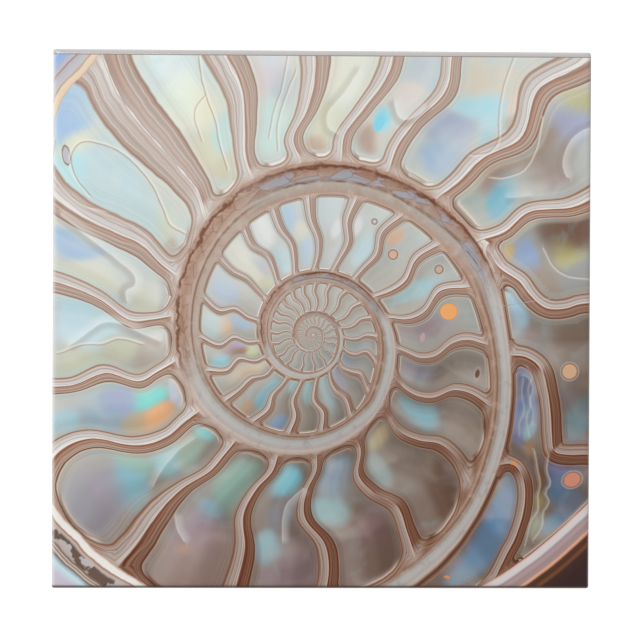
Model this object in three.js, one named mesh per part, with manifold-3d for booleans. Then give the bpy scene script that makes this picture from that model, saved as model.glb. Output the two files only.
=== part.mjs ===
// A square glazed ceramic tile, 4 1/4 inch size, lying on its back with its printed face up.
// Millimetres, +Z up. The origin is the middle of the back, on the plane that the tile rests on.
//
// The body is one pressed and fired piece. The face and its four edges are one rolled surface: the flat
// face turns down into the sides over a small quarter round, because the glaze and the print run over
// that edge. The back is bare clay with shallow slots pressed into it, which adhesive keys into, and the
// ribs between the slots and the rim round them carry the tile.

import * as THREE from "three";
import { mergeVertices } from "three/addons/utils/BufferGeometryUtils.js";
import Module from "manifold-3d";

// Driving dimensions, in millimetres.
const TILE_SIDE = 108; // 4 1/4 inch nominal
const THICKNESS = 6;
const FACE_EDGE_RADIUS = 1.2; // the quarter round from the face into the sides
const CORNER_RADIUS = 0.5; // the upright corners, seen from above
const BACK_EDGE_TRIM = 0.3; // how much of the same quarter round is cut away at the back edge

const SLOT_COUNT = 8; // an even number, so that a rib runs through the middle of the back
const SLOT_WIDTH = 5;
const SLOT_LENGTH = 90;
const SLOT_PITCH = 11.5;
const SLOT_DEPTH = 0.6;

const EDGE_STEPS = 8; // facets across the quarter round
const CORNER_STEPS = 6; // facets in each upright corner
const SLOT_END_STEPS = 8; // facets in each round slot end
const CUT_MARGIN = 2; // how far a cutting solid runs past what it cuts

const wasm = await Module();
wasm.setup();

// A three.js geometry as a solid that manifold-3d can cut and join.
function solidFrom(geometry) {
  const bare = geometry.clone();
  bare.deleteAttribute("normal");
  bare.deleteAttribute("uv");
  const merged = mergeVertices(bare, 1e-4);
  return new wasm.Manifold(
    new wasm.Mesh({
      numProp: 3,
      vertProperties: merged.attributes.position.array,
      triVerts: new Uint32Array(merged.index.array),
    }),
  );
}

// A solid back as a three.js geometry with flat-shaded faces.
function geometryFrom(solid) {
  const mesh = solid.getMesh();
  const indexed = new THREE.BufferGeometry();
  indexed.setAttribute("position", new THREE.BufferAttribute(mesh.vertProperties, 3));
  indexed.setIndex(new THREE.BufferAttribute(mesh.triVerts, 1));
  const geometry = indexed.toNonIndexed();
  geometry.computeVertexNormals();
  return geometry;
}

// A rectangle with round corners, centred on the origin.
function roundedRectangle(width, height, radius) {
  const x = width / 2;
  const y = height / 2;
  const shape = new THREE.Shape();
  shape.moveTo(x, -y + radius);
  shape.lineTo(x, y - radius);
  shape.absarc(x - radius, y - radius, radius, 0, Math.PI / 2, false);
  shape.lineTo(-x + radius, y);
  shape.absarc(-x + radius, y - radius, radius, Math.PI / 2, Math.PI, false);
  shape.lineTo(-x, -y + radius);
  shape.absarc(-x + radius, -y + radius, radius, Math.PI, 1.5 * Math.PI, false);
  shape.lineTo(x - radius, -y);
  shape.absarc(x - radius, -y + radius, radius, 1.5 * Math.PI, 2 * Math.PI, false);
  return shape;
}

function square(side) {
  const half = side / 2;
  const shape = new THREE.Shape();
  shape.moveTo(-half, -half);
  shape.lineTo(half, -half);
  shape.lineTo(half, half);
  shape.lineTo(-half, half);
  shape.closePath();
  return shape;
}

// The slab with rolled edges. Its quarter round runs round the face, and again, cut short, round the back.
function rolledSlab() {
  const slab = new THREE.ExtrudeGeometry(square(TILE_SIDE - 2 * FACE_EDGE_RADIUS), {
    depth: THICKNESS + BACK_EDGE_TRIM - 2 * FACE_EDGE_RADIUS,
    bevelThickness: FACE_EDGE_RADIUS,
    bevelSize: FACE_EDGE_RADIUS,
    bevelSegments: EDGE_STEPS,
  });
  slab.translate(0, 0, FACE_EDGE_RADIUS - BACK_EDGE_TRIM);
  return solidFrom(slab);
}

// The tile's plan with its round upright corners. It starts on the back plane, so it also trims the back.
function planPrism() {
  const prism = new THREE.ExtrudeGeometry(roundedRectangle(TILE_SIDE, TILE_SIDE, CORNER_RADIUS), {
    depth: THICKNESS + CUT_MARGIN,
    bevelEnabled: false,
    curveSegments: CORNER_STEPS,
  });
  return solidFrom(prism);
}

// One round-ended slot of the back, as a cutting solid, with its middle at height y across the tile.
function slotCutter(y) {
  const slot = new THREE.ExtrudeGeometry(roundedRectangle(SLOT_LENGTH, SLOT_WIDTH, SLOT_WIDTH / 2 - 0.01), {
    depth: SLOT_DEPTH + CUT_MARGIN,
    bevelEnabled: false,
    curveSegments: SLOT_END_STEPS,
  });
  slot.translate(0, y, -CUT_MARGIN);
  return solidFrom(slot);
}

function tileSolid() {
  let solid = rolledSlab().intersect(planPrism());
  for (let i = 0; i < SLOT_COUNT; i++) {
    const y = (i - (SLOT_COUNT - 1) / 2) * SLOT_PITCH;
    solid = solid.subtract(slotCutter(y));
  }
  return solid;
}

const glaze = new THREE.MeshStandardMaterial({ color: 0xb9aea6, roughness: 0.12, metalness: 0 });

const tile = new THREE.Mesh(geometryFrom(tileSolid()), glaze);
tile.name = "tile";

const part = new THREE.Group();
part.add(tile);

export default part;
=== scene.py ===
# %% [markdown]
# # A printed ceramic tile
# The object is one square wall tile, about as wide as a hand. A glossy glaze covers its face
# and its softly rolled edge, and under the glaze lies a flat print of a shell cut in half.
# This file keeps the tile's real size from the CAD frame and gives it its surfaces: a mesh
# with rolled edges and a grooved back, and a print that is drawn by measuring and by maths.

# %% Load the fixed frame
import math

import bpy
import numpy as np
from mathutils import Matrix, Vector
from mathutils.geometry import delaunay_2d_cdt


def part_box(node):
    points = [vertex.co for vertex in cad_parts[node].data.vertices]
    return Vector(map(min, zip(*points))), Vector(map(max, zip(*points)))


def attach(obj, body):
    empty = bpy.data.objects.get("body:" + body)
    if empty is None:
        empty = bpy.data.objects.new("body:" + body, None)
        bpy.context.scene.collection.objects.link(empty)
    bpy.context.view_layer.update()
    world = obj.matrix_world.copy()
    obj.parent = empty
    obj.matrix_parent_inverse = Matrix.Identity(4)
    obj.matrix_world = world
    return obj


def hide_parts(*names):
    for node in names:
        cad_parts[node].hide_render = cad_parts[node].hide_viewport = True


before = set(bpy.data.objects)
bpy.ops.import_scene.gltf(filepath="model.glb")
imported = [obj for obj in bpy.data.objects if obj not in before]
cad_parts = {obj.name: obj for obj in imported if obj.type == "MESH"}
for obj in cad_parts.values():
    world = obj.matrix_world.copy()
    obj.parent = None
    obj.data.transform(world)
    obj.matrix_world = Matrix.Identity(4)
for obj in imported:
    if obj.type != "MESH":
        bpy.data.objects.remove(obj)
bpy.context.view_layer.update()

# %% [markdown]
# ## The tile's own measures
# A pressed tile is a flat slab. Its face edges are rolled over so that neighbouring tiles meet
# softly, and its back has shallow slots that hold the cement. The side and the thickness come
# from the frame, so that the finished piece can't drift away from the construction.

# %% Read the tile's measures from the frame
MM = 0.001
low_corner, high_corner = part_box("tile")
HALF = (high_corner[0] - low_corner[0]) / 2
THICK = high_corner[2] - low_corner[2]
ROLL = 1.2 * MM          # radius of the rolled face edge
CORNER = 0.5 * MM        # radius of the four upright corners
BACK_TRIM = 0.3 * MM     # the small slope round the back
SLOT_COUNT = 8
SLOT_WIDTH = 5 * MM
SLOT_LENGTH = 90 * MM
SLOT_PITCH = 11.5 * MM
SLOT_DEPTH = 0.6 * MM
print("tile side and thickness, mm:", round(2 * HALF / MM, 2), round(THICK / MM, 2))

# %% [markdown]
# ## The stage and the camera
# A small thing is shown best by a long lens from far away, because its sides then stay
# parallel. The camera looks almost straight down at the tile, which lies on a white floor.
# The floor has a square hole just under the tile, so that it never covers the grooved back.

# %% Set the floor and the camera
CAMERA_PLACE = (-20.5 * MM, 6.4 * MM, 599.1 * MM)
CAMERA_TURN = (-0.671, -1.975, 0.247)
CAMERA_LENS = 165.5      # mm
CAMERA_SENSOR = 36       # mm
CAMERA_NEAREST = 0.01    # m, nearer things are cut off
FLOOR_HALF = 3.0         # m
SQUARE = ((-1, -1), (1, -1), (1, 1), (-1, 1))

camera_data = bpy.data.cameras.new("camera")
camera_data.lens = CAMERA_LENS
camera_data.sensor_width = CAMERA_SENSOR
camera_data.clip_start = CAMERA_NEAREST
camera = bpy.data.objects.new("camera", camera_data)
camera.location = CAMERA_PLACE
camera.rotation_euler = [math.radians(angle) for angle in CAMERA_TURN]
bpy.context.collection.objects.link(camera)
bpy.context.scene.camera = camera

floor_mesh = bpy.data.meshes.new("floor")
floor_corners = []
for reach in (FLOOR_HALF, HALF - BACK_TRIM):
    floor_corners += [(x * reach, y * reach, 0) for x, y in SQUARE]
floor_sides = [(i, (i + 1) % 4, 4 + (i + 1) % 4, 4 + i) for i in range(4)]
floor_mesh.from_pydata(floor_corners, [], floor_sides)
floor = bpy.data.objects.new("floor", floor_mesh)
floor.location.z = low_corner[2]
bpy.context.collection.objects.link(floor)
print("camera height, mm:", round(CAMERA_PLACE[2] / MM))

# %% [markdown]
# ## The drawing's skeleton: a spiral
# A cut nautilus is a tube that winds round a centre point and grows by the same share every
# turn. Every place on the print is therefore told by two numbers: the **winding**, the angle
# that a pen has turned through since an inner starting point, and the **height**, which is 0
# at a chamber's inner wall and 1 at its outer wall. The two walls are drawn with compass
# radii at every twelfth of a turn. Further in, the same radii repeat at a smaller size.

# %% Draw the two walls of the spiral
CENTRE = np.array([-1.83, -3.14])   # where the spiral starts, mm from the tile's middle
TURN = 360.0
STEP = 30.0                         # degrees between compass radii
TURNS_IN, TURNS_OUT = 6, 3          # how many turns inwards and outwards are looked through
LEAST_RADIUS = 0.001                # mm, keeps the centre point itself measurable
GROWTH = 2.68                       # each turn is this many times wider than the last
INNER_WALL = (6.1, 6.7, 7.7, 8.7, 9.8, 10.4, 11.0, 11.8, 12.6, 13.2, 13.9, 14.7,
              16.6, 18.7, 21.7, 24.2, 26.0, 27.7, 28.4, 30.3, 33.5, 35.6, 37.0, 38.7,
              39.5, 44.9, 52.8, 59.6)
OUTER_WALL = (12.7, 14.2, 17.4, 19.5, 20.8, 22.1, 22.6, 24.0, 26.0, 28.0, 29.6, 31.6,
              34.5, 40.0, 48.0, 54.0, 59.5, 62.0, 63.0, 66.0, 72.0, 78.0, 84.0, 88.0,
              80.0, 65.1, 60.2, 58.0)
LAST_WINDING = STEP * (len(INNER_WALL) - 1)
BEYOND = 1.5                        # past the last turn the next wall lies this much further out


def smooth_curve(at, places, values):
    """A smooth curve through the values at the places, read at any point."""
    places = np.asarray(places, float)
    values = np.asarray(values, float)
    slope = np.gradient(values, places)
    at = np.clip(at, places[0], places[-1])
    i = np.clip(np.searchsorted(places, at) - 1, 0, len(places) - 2)
    width = places[i + 1] - places[i]
    t = (at - places[i]) / width
    start = (1 + 2 * t) * (1 - t) ** 2 * values[i] + t * (1 - t) ** 2 * slope[i] * width
    end = t * t * (3 - 2 * t) * values[i + 1] + t * t * (t - 1) * slope[i + 1] * width
    return start + end


WALL_WINDINGS = np.arange(len(INNER_WALL)) * STEP


def wall_radius(winding, radii):
    """The radius of a wall, mm; windings below 0 are smaller copies of the first turn."""
    turns_in = np.ceil(np.clip(-winding, 0, None) / TURN)
    logs = smooth_curve(winding + TURN * turns_in, WALL_WINDINGS, np.log(radii))
    return np.exp(logs - math.log(GROWTH) * turns_in)


def floor_radius(winding):
    """Where chambers begin; beyond the last turn it is a step outside their outer wall."""
    known = wall_radius(winding, INNER_WALL)
    outside = BEYOND * wall_radius(winding - TURN, OUTER_WALL)
    return np.where(winding > LAST_WINDING, outside, known)


def roof_radius(winding):
    """Where chambers end."""
    return wall_radius(winding, OUTER_WALL)


def find_winding(x, y):
    """The winding and the radius of each place on the face."""
    east = x - CENTRE[0]
    north = y - CENTRE[1]
    radius = np.maximum(np.hypot(east, north), LEAST_RADIUS)
    clock = np.degrees(np.arctan2(-north, east)) % TURN
    winding = clock - TURNS_IN * TURN
    for turn in range(1 - TURNS_IN, TURNS_OUT):
        later = clock + turn * TURN
        wall_middle = np.sqrt(roof_radius(later - TURN) * floor_radius(later))
        winding = np.where(radius >= wall_middle, later, winding)
    return winding, radius


LEFTWARDS = np.array([1.5 * TURN])
print("whorls reach", round(float(roof_radius(LEFTWARDS)[0])), "mm left of the centre")

# %% [markdown]
# ## The dividing walls between chambers
# Each chamber of a nautilus is closed by a thin wall, a septum, which bends like a flat S.
# Here each divider is one row: its winding at a few heights along the tube. The second turn's
# dividers stand every 18 degrees or so. The outer turn's are broader and less even. The two
# inner turns only need their spacing, since they share a bend.

# %% Place the dividing walls
FIVE_HEIGHTS = (0, 0.25, 0.5, 0.75, 1)
SEVEN_HEIGHTS = (0, 0.15, 0.3, 0.5, 0.7, 0.85, 1)
INNER_DIVIDERS = (-14, -31, -50, -68, -84, -98, -112, -127, -141, -155,
                  -172, -188, -207, -224, -247, -268, -289, -312, -335, -353)
INNER_BEND = (-1, 1.5, 0, -4.5, -3)
SECOND_DIVIDERS = (
    (3, 5.5, 4.5, 0, 1), (23, 26, 23.6, 17, 23), (44, 47, 43.6, 39.3, 44.5),
    (65, 68, 66.6, 62, 64), (84, 87.4, 88.3, 82, 84), (103, 105.3, 106.3, 101.7, 103),
    (120.7, 121.6, 123.4, 120.7, 124.5), (141, 139.5, 144.3, 143, 143),
    (155.6, 155.6, 162, 157.5, 161.5), (173.4, 173.7, 178.3, 173.7, 179),
    (194.7, 195.3, 198.4, 194.4, 199), (217.4, 219, 220.2, 218.3, 219.5),
    (236, 239.2, 240.4, 236, 237.5), (253.6, 256, 256.7, 253, 252.5),
    (271, 273.5, 273, 269, 268), (287.2, 289.3, 290.6, 286.6, 287.5),
    (306.2, 307, 308, 303.7, 306.5), (327.7, 330, 329.2, 323.4, 324),
    (346.7, 350, 347.9, 340.6, 342.5),
)
OUTER_DIVIDERS = (
    (368.6, 370.1, 371.5, 369.3, 363, 361.3, 362.8), (387, 389.5, 390, 387.3, 380.9, 380, 381.5),
    (405.1, 406.7, 407.6, 404.7, 400.2, 400.2, 403), (426.3, 427.3, 431.5, 429, 423.5, 424.1, 425),
    (447.8, 448.3, 451.8, 452.4, 446.5, 445.9, 447.5), (466, 466.4, 469.8, 471, 467.5, 466.9, 466.9),
    (486, 486.4, 486.9, 490.2, 490.8, 490, 490), (506.3, 505.9, 505, 507.7, 514.9, 515.5, 512),
    (529, 526.9, 525, 529.5, 528.1, 529.2, 531), (547.4, 545.5, 544.5, 549.2, 551.4, 551.5, 551.5),
    (563.5, 565, 567.5, 567.3, 567, 568, 571), (588, 591, 591.2, 590.8, 590.5, 591, 593),
    (608.8, 609.2, 611.4, 613.6, 612.4, 611.5, 611), (625.8, 624.1, 628.1, 630.2, 629.5, 628.5, 628),
    (638.9, 638.7, 642.1, 645.8, 645, 643.5, 643), (654.4, 653.8, 655.2, 658.2, 655.5, 655, 654),
    (672, 673.3, 673.3, 676.2, 672.2, 674.7, 675), (690.2, 691.4, 690, 693.5, 693.2, 693, 693),
)
UNDRAWN_DIVIDERS = range(711, 860, 18)   # they only keep the count even beyond the last chamber
# half of each divider's width, in degrees of winding
INNER_HALF_WIDTH = 2.6
SECOND_HALF_WIDTHS = (2.9, 2.9, 2.9, 2.8, 2.7, 2.6, 2.4, 2.3, 2.3, 2.2,
                      2.2, 2.2, 2.3, 2.3, 2.4, 2.4, 2.6, 2.8, 2.9)
OUTER_HALF_WIDTHS = (2.5, 2.4, 2.3, 2.2, 2.2, 2.2, 2.5, 3.0, 2.2, 2.4, 4.0, 5.4,
                     3.1, 2.8, 2.6, 2.5, 2.8, 2.2)
UNDRAWN_HALF_WIDTH = 0.001
LEVELS = np.linspace(-0.3, 1.3, 65)
MIDDLE_LEVEL = 20                    # the level at which the dividers' spacing is taken
COUNT_SWAY = 0.1                     # how far the smooth count may leave the straight one
INNER_TURNS = (3, 2, 1, 0)           # how many turns further in the inner dividers are repeated


def all_dividers():
    """Every divider's winding at every level, from the innermost out, and its half width."""
    rows = []
    widths = []
    for turn in INNER_TURNS:
        for place in reversed(INNER_DIVIDERS):
            bend = smooth_curve(LEVELS, FIVE_HEIGHTS, INNER_BEND)
            rows.append(place - turn * TURN + bend)
            widths.append(INNER_HALF_WIDTH)
    for row, width in zip(SECOND_DIVIDERS, SECOND_HALF_WIDTHS):
        rows.append(smooth_curve(LEVELS, FIVE_HEIGHTS, row))
        widths.append(width)
    for row, width in zip(OUTER_DIVIDERS, OUTER_HALF_WIDTHS):
        rows.append(smooth_curve(LEVELS, SEVEN_HEIGHTS, row))
        widths.append(width)
    for place in UNDRAWN_DIVIDERS:
        rows.append(np.full(len(LEVELS), float(place)))
        widths.append(UNDRAWN_HALF_WIDTH)
    return np.array(rows), np.array(widths)


DIVIDERS, HALF_WIDTHS = all_dividers()
# so that the second turn's first divider is number 1
FIRST_NUMBER = 1 - len(INNER_TURNS) * len(INNER_DIVIDERS)
NUMBERS = np.arange(len(DIVIDERS)) + FIRST_NUMBER
LAST_CHAMBER = NUMBERS[-1] - len(UNDRAWN_DIVIDERS)


def count_at_level(winding, level):
    """Dividers passed along one level, smooth but never far from the straight count."""
    straight = np.interp(winding, DIVIDERS[:, level], NUMBERS)
    smooth = smooth_curve(winding, DIVIDERS[:, level], NUMBERS)
    return straight + np.clip(smooth - straight, -COUNT_SWAY, COUNT_SWAY)


def divider_number(winding, height):
    """Counts dividers passed: whole on a divider, and a half in the middle of a chamber."""
    level = np.clip((height - LEVELS[0]) / (LEVELS[1] - LEVELS[0]), 0, len(LEVELS) - 1.001)
    below = level.astype(int)
    share = level - below
    number = np.zeros_like(winding)
    for i in np.unique(below):
        here = below == i
        lower = count_at_level(winding[here], i)
        upper = count_at_level(winding[here], i + 1)
        number[here] = lower + (upper - lower) * share[here]
    return number


print("dividers drawn:", len(DIVIDERS))

# %% [markdown]
# ## Where each place lies in the drawing
# The pattern is measured once at every point of the mesh: how far along the dividers it is,
# how far it is from a wall, and which way the painted ridges slope there. These are smooth
# numbers, which survive between mesh points, and the shader turns them into crisp lines.

# %% Measure the drawing at any place on the face
LIGHT = np.array([-0.42, 0.91])      # the painted light falls from the upper left
RIB_LIGHT = np.array([-0.66, 0.75])  # on ridges it falls a little more from the side
RIB_STEADY = 0.55                     # how far a ridge's lit side follows the rib's whole run
NUDGE = 0.02                          # mm, to measure slopes
FLARE_LEAST, FLARE_MOST = 0.1, 0.65   # by how much a rib widens where it meets a wall
ROUND_LEAST, ROUND_MOST = 2.0, 4.2    # units, the rounding of a chamber's corners
FLARE_REACH = 1.5                     # mm from the wall where the widening has faded
UNIT_RADIUS, UNIT_POWER = 45, 0.75    # mm; lines grow with this power of their distance from the centre
OUTER_WALL_UNIT = 0.65                # mm; a chamber's outer wall has narrower bands than its inner
CORNER_HEIGHT = 0.7                   # above it, places may belong to the corners past the last whorl
PAST_LEFT_SPAN, PAST_FOOT_SPAN = (545, 640), (466, 545)   # degrees of winding
PAST_RIGHT_START = 700


def height_in_tube(winding, radius):
    """0 at a chamber's inner wall and 1 at its outer wall; above 1 it is in the spiral wall."""
    floor_log = np.log(floor_radius(winding))
    roof_log = np.log(roof_radius(winding))
    return (np.log(radius) - floor_log) / (roof_log - floor_log)


def number_near(x, y, turns):
    """The divider count at a place, for a given whorl."""
    east = x - CENTRE[0]
    north = y - CENTRE[1]
    radius = np.maximum(np.hypot(east, north), LEAST_RADIUS)
    winding = np.degrees(np.arctan2(-north, east)) % TURN
    winding = winding + TURN * np.round((turns - winding) / TURN)
    return divider_number(winding, height_in_tube(winding, radius))


def window(at, start, full, fade, end):
    """0 up to start, 1 from full to fade, 0 from end on, and smooth slopes between."""
    up = np.clip((at - start) / (full - start), 0, 1)
    down = np.clip((end - at) / (end - fade), 0, 1)
    share = np.minimum(up, down)
    return share * share * (3 - 2 * share)


def crust_share(clock, across):
    """Where the spiral wall is broken up into crust: on its outer half, left and above."""
    return window(clock, 158, 176, 338, 350) * window(across, 0.4, 0.47, 0.7, 0.76)


def measure(x, y):
    """Everything that the print's shader wants to know about each place, by name."""
    winding, radius = find_winding(x, y)
    height = height_in_tube(winding, radius)
    number = divider_number(winding, height)
    slope_x = (number_near(x + NUDGE, y, winding) - number_near(x - NUDGE, y, winding)) / (2 * NUDGE)
    slope_y = (number_near(x, y + NUDGE, winding) - number_near(x, y - NUDGE, winding)) / (2 * NUDGE)
    slope = np.maximum(np.hypot(slope_x, slope_y), 1e-3)
    pitch = 1 / slope
    degrees_apart = np.interp(number, NUMBERS, np.gradient(DIVIDERS[:, MIDDLE_LEVEL]))
    half_width = np.interp(number, NUMBERS, HALF_WIDTHS) * pitch / degrees_apart

    floor_here = floor_radius(winding)
    roof_here = roof_radius(winding)
    wall_gap = np.minimum(radius - floor_here, roof_here - radius)
    outer_turn = window(winding, 370, 395, 900, 910)
    soft_corners = outer_turn * (1 - 0.7 * window(winding, 560, 600, 690, 700))
    flare = FLARE_LEAST + (FLARE_MOST - FLARE_LEAST) * soft_corners
    unit = (radius / UNIT_RADIUS) ** UNIT_POWER
    flare_reach = FLARE_REACH * unit
    half_width = half_width * (1 + flare * np.exp(-np.clip(wall_gap, 0, None) / flare_reach))
    past_roof = height > 0.5
    band_start = np.where(past_roof, roof_here, roof_radius(winding - TURN))
    band_end = np.where(past_roof, floor_radius(winding + TURN), floor_here)
    across = np.log(radius / band_start) / np.log(band_end / band_start)
    east_side = window((winding + 180) % TURN, 130, 165, 225, 245)
    across_paint = across - 0.8 * east_side * across * (1 - across)
    outward_x = (x - CENTRE[0]) / radius
    outward_y = (y - CENTRE[1]) / radius
    slim = 1 - 0.5 * window(winding, 685, 715, 900, 910)
    wall_unit = unit * np.where(past_roof, OUTER_WALL_UNIT, 1.0) * slim
    in_wall = (height > 1) | (height < 0)
    inwards = np.where(in_wall, -np.cos(np.pi * np.clip(across, 0, 1)), np.cos(np.pi * height))
    outward_lit = outward_x * LIGHT[0] + outward_y * LIGHT[1]
    bend_lit = (slope_x * RIB_LIGHT[0] + slope_y * RIB_LIGHT[1]) / slope
    run_lit = outward_y * RIB_LIGHT[0] - outward_x * RIB_LIGHT[1]
    rib_lit = bend_lit + (run_lit - bend_lit) * RIB_STEADY
    past = {name: (height > CORNER_HEIGHT) & (winding > start) & (winding < end)
            for name, (start, end) in (("past_left", PAST_LEFT_SPAN), ("past_foot", PAST_FOOT_SPAN),
                                       ("past_right", (PAST_RIGHT_START, math.inf)))}
    return {
        "winding": winding, "radius": radius, "height": height, "number": number,
        "rib_cos": np.cos(2 * np.pi * number), "rib_sin": np.sin(2 * np.pi * number),
        "rib_pitch": np.clip(pitch, 0, 40), "rib_half": np.clip(half_width, 0, 12),
        "rib_lit": rib_lit,
        "wall_gap": wall_gap, "wall_lit": outward_lit * np.clip(3 * inwards, -1, 1),
        "wall_across": across_paint, "wall_unit": wall_unit,
        "rounding": ROUND_LEAST + (ROUND_MOST - ROUND_LEAST) * soft_corners,
        "crust": crust_share(winding % TURN, across),
        "clock": winding % TURN,
        "worn": window(winding % TURN, 150, 180, 235, 262),
        "above": window(winding % TURN, 235, 262, 332, 352),
        **{name: np.where(here, 1.0, 0.0) for name, here in past.items()},
    }


print("at the face's middle, winding:", float(measure(np.zeros(1), np.zeros(1))["winding"].round()[0]))


# %% [markdown]
# ## Lines and discs drawn one by one
# Some marks follow no rule: three ridges that branch off the wall, fine folds and cracks in
# the pearl, bubbles and chips. A line is drawn as a pen would, through a few places. Each mesh
# point then keeps its distance to the nearest line, positive on the line's left. A signed
# distance passes smoothly through zero, so the shader can draw a line finer than the mesh.

# %% Draw the single ridges, folds, cracks and discs
# half width in mm, then winding and height of places along the ridge
SPURS = (
    (2.0, ((725.5, -.02), (725.6, .11), (728, .21), (733.2, .28), (738, .34), (742.5, .41),
           (745.4, .49), (744.8, .61), (743.1, .75), (742, .91))),
    (1.5, ((755.7, -.08), (753.8, .03), (752.7, .13), (752.9, .24), (754.6, .36), (757.3, .47),
           (760.8, .58), (764.9, .7), (768.2, .79), (772.1, .96), (775.6, 1.17))),
    (1.9, ((691, -.02), (694.6, .01), (699.5, .03), (702.7, .08), (705.4, .13), (709.1, .17),
           (712, .22), (713.5, .28), (713.7, .36), (713.1, .43), (713.1, .49))),
)
# cover, then the places; folds and creases are two sets, because they run near each other
FOLDS = (
    (.5, ((746.9, .44), (750.1, .5), (752, .6), (754.1, .6), (755.2, .7), (757.6, .72), (759.6, .82),
         (762.4, .86))),
    (.3, ((731.6, .07), (735.4, .06), (739.4, .1), (742.6, .07), (745.6, .1))),
    (1, ((572, .7), (573.5, .8), (576.5, .86), (580, .84), (583, .7), (583.5, .55), (582.6, .42),
         (580, .3), (577.4, .2), (578, .07))),
    (1, ((608, .78), (606.4, .66), (605.6, .54), (605.2, .42), (603.6, .3), (602.5, .14))),
    (.8, ((624.5, .6), (622.6, .46), (620, .35), (617, .2))),
    (.8, ((665.5, .75), (667.2, .63), (670, .52), (673.3, .43), (673.5, .36), (671, .3))),
    (.7, ((708, .49), (706.4, .39), (703.4, .33), (699, .31))),
)
CREASES = (
    (.5, ((747.5, .3), (751.1, .42), (753.4, .52), (755.3, .55), (757.8, .66), (760.3, .68), (764.5, .84))),
    (.3, ((728.4, .1), (730.6, .14), (734, .11), (737.6, .15), (741, .13), (745, .2))),
    (.9, ((535.5, .74), (537.3, .61), (537.3, .5), (538.6, .39), (536.6, .24))),
    (.8, ((605.4, .57), (602.8, .55), (601, .5), (600, .38))),
    (.8, ((626, .52), (623, .4), (620, .25), (619, .1))),
    (.8, ((676, .62), (679.4, .52), (681.4, .42), (680.2, .33), (678, .28))),
    (.7, ((571, .6), (569.6, .74), (572, .9), (577, .95))),
)
GLOWS = (
    (1, ((537.6, .68), (542.7, .52), (543.7, .38), (540.9, .23), (538.1, .1))),
    (.7, ((453.4, .29), (458, .39), (458.9, .5), (458.1, .64))),
    (1, ((683.3, .74), (682.5, .66), (684, .59), (686, .55), (688, .54))),
    (.7, ((684.4, .27), (685.6, .31), (686.8, .36))),
    (.8, ((486.9, .66), (484.8, .71), (481.8, .75))),
    (.7, ((496.5, .6), (498.7, .46), (499.4, .31), (499.1, .19))),
    (.8, ((639.9, .5), (637.1, .38), (634.1, .28), (634.1, .2), (636.5, .16))),
    (1, ((649.2, .38), (652.1, .31), (654.7, .34), (656, .4))),
    (1, ((565.5, .8), (562.9, .56), (560.8, .42), (558.7, .31), (555.2, .29), (553, .35), (550.4, .34))),
    (.5, ((730.6, .09), (731, .13), (733.4, .17), (736.7, .16), (739.1, .2), (742, .2))),
)
# winding, height, half length and half width in mm, lean in degrees, colour, brown outline
DISCS = (
    (727.8, .4, 1.6, 1.6, 0, (204, 166, 134), 1), (748.9, .76, 1.9, 1.5, 20, (200, 134, 112), 1),
    (752.3, .15, .7, .5, 0, (222, 140, 78), 0), (780.9, .38, .7, .5, 0, (222, 140, 78), 0),
    (298.2, .83, .55, .55, 0, (196, 200, 202), 1), (314.6, .62, .95, .95, 0, (214, 176, 150), 1),
    (349.9, .75, 1.8, 1.7, 0, (236, 168, 108), .3), (332.2, .86, .85, .85, 0, (196, 172, 158), 1),
    (372.9, .9, .9, .45, 80, (112, 78, 68), .6), (575.9, .88, 2.0, .8, 100, (196, 194, 200), 1),
    (647.1, .25, 1.9, 1.0, 65, (140, 212, 232), 0),
    (361, .38, 1.0, .5, 80, (186, 158, 168), 0),
)
PEN_STEPS = 6            # pieces of line between two places
PEN_REACH = 2.6          # mm, further off a fold, crease or glow isn't seen
RIDGE_REACH = 4.4        # mm, the same for a spur and its shadow
LINE_FADE = 0.8          # mm over which a line fades at its reach
LINE_APART = 1.2         # mm that the next nearest line has to be further off
NO_LINE = 1000.0         # mm, where no line is near
NO_DISC = 9.0            # mm, the same for discs


def linear(colour):
    """The linear values of a colour given as 0-255 display values."""
    share = np.asarray(colour, float) / 255
    return np.where(share <= 0.04045, share / 12.92, ((share + 0.055) / 1.055) ** 2.4)


def place_on_face(winding, height):
    """The mm place of a winding and height on the face."""
    winding = np.asarray(winding, float)
    floor_log = np.log(floor_radius(winding))
    radius = np.exp(floor_log + height * (np.log(roof_radius(winding)) - floor_log))
    angle = np.radians(winding)
    return CENTRE[0] + radius * np.cos(angle), CENTRE[1] - radius * np.sin(angle)


def pen_path(places):
    """A smooth path in mm through places given by winding and height."""
    winding, height = np.array(places, float).T
    x, y = place_on_face(winding, height)
    steps = np.arange(len(places))
    at = np.linspace(0, len(places) - 1, (len(places) - 1) * PEN_STEPS + 1)
    return smooth_curve(at, steps, x), smooth_curve(at, steps, y)


def beside_path(x, y, path):
    """Signed distance to a path, how far past its ends a place lies, and the way to its left."""
    path_x, path_y = path
    best = np.full(len(x), np.inf)
    signed = np.full(len(x), np.inf)
    inside = np.zeros(len(x))
    left = np.zeros((len(x), 2))
    last = len(path_x) - 2
    for i in range(last + 1):
        step = np.array([path_x[i + 1] - path_x[i], path_y[i + 1] - path_y[i]])
        length = math.hypot(*step)
        step /= length
        east = x - path_x[i]
        north = y - path_y[i]
        along = east * step[0] + north * step[1]
        aside = north * step[0] - east * step[1]
        over = np.maximum(np.maximum(-along, along - length), 0)
        far = np.hypot(over, aside)
        closer = far < best
        before = np.maximum(-along, 0) if i == 0 else 0
        after = np.maximum(along - length, 0) if i == last else 0
        best = np.where(closer, far, best)
        signed = np.where(closer, np.copysign(far, aside), signed)
        inside = np.where(closer, -(before + after), inside)
        left = np.where(closer[:, None], np.array([[-step[1], step[0]]]), left)
    return signed, inside, left


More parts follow.
